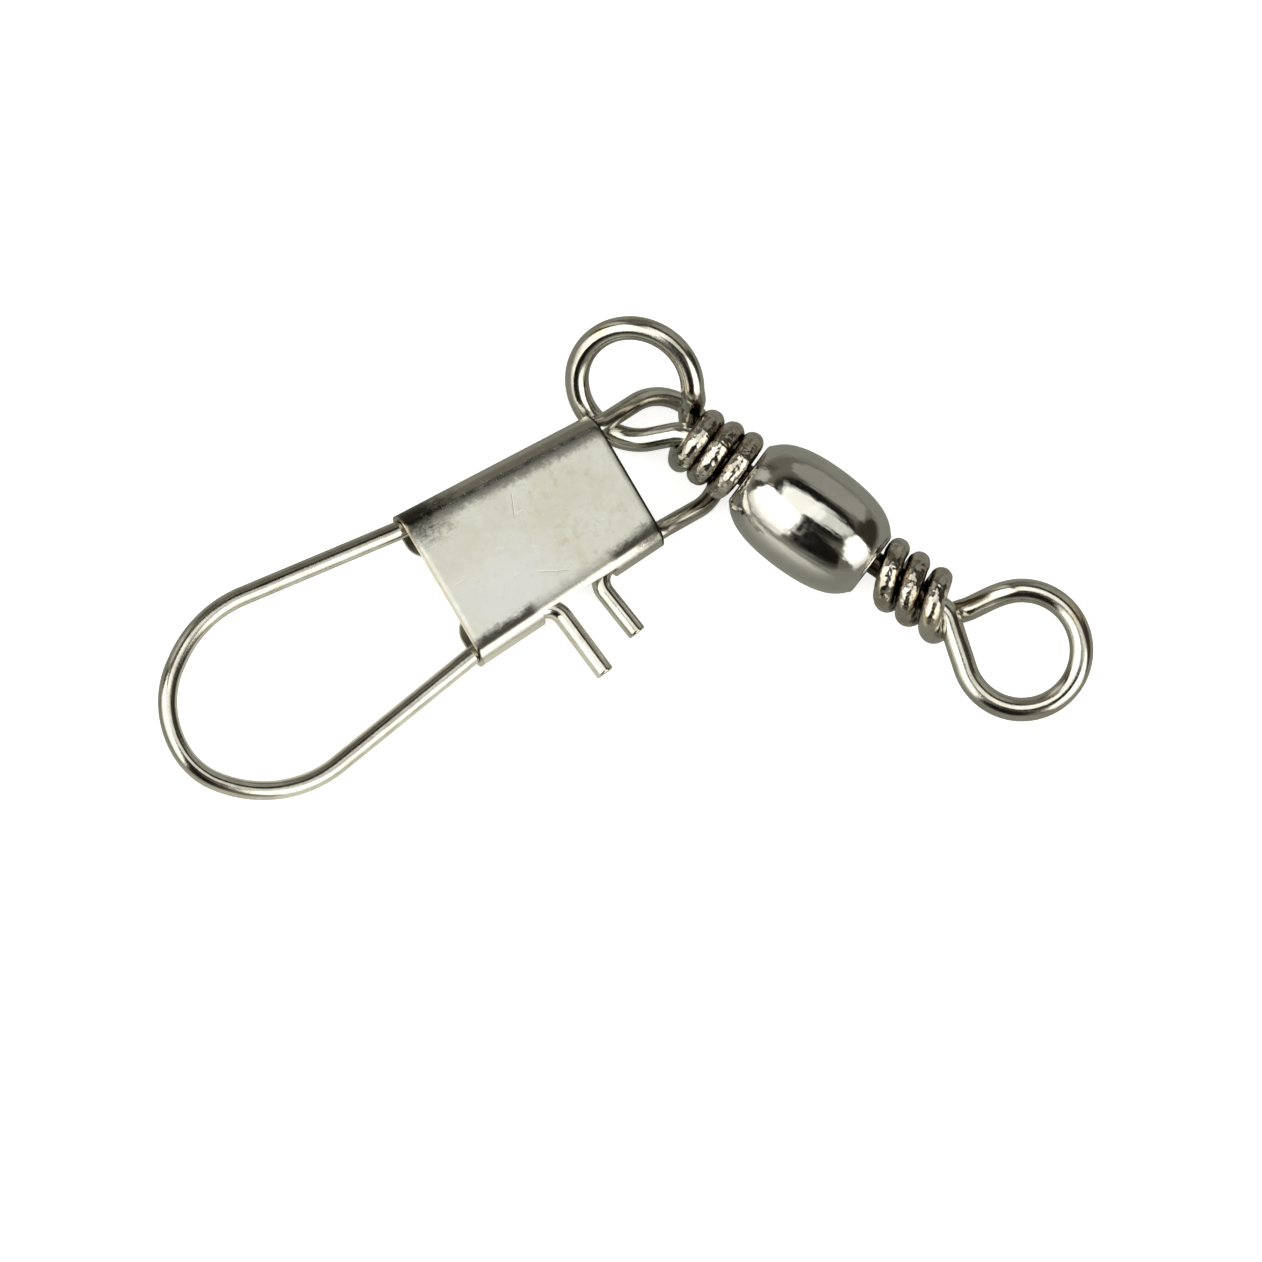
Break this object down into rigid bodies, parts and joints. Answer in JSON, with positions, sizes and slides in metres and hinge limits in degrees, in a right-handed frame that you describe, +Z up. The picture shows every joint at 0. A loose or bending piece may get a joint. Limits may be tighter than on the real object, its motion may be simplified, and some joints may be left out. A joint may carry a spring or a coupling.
{
  "type": "fishing snap swivel",
  "caption": "Barrel swivel with a wrapped wire eye at each end and a spring-wire snap that hooks into a folded sheet sleeve.",
  "frame": {"origin": "middle of the footprint, on the table the swivel lies on", "axes": "+X along the swivel's axis towards the line eye, +Z up from the table, +Y from the snap's loop towards the barrel"},
  "size_m": [0.0322, 0.0274, 0.0052],
  "materials": {
    "barrel_plating": "dark nickel, mirror polished",
    "eye_wire": "bright nickel-plated wire",
    "spring_wire": "bright nickel-plated spring wire",
    "sleeve_sheet": "dull, lightly scratched sheet"
  },
  "bodies": {
    "barrel": {"barrel": "barrel_plating"},
    "line_eye": {"line_eye": "eye_wire"},
    "snap_eye": {"snap_eye": "eye_wire"},
    "snap": {"snap_wire": "spring_wire", "snap_sleeve": "sleeve_sheet"}
  },
  "joints": [
    {"name": "line_eye_spin", "type": "hinge", "parent": "barrel", "child": "line_eye", "pos_m": [0.00277, 0.01047, 0.00246], "axis": [1, 0, 0], "continuous": true},
    {"name": "snap_eye_spin", "type": "hinge", "parent": "barrel", "child": "snap_eye", "pos_m": [0.00277, 0.01047, 0.00246], "axis": [1, 0, 0], "continuous": true},
    {"name": "snap_link", "type": "hinge", "parent": "snap_eye", "child": "snap", "pos_m": [-0.00476, 0.00961, 0.00157], "axis": [0, 1, 0], "range_deg": [0, 85]}
  ]
}
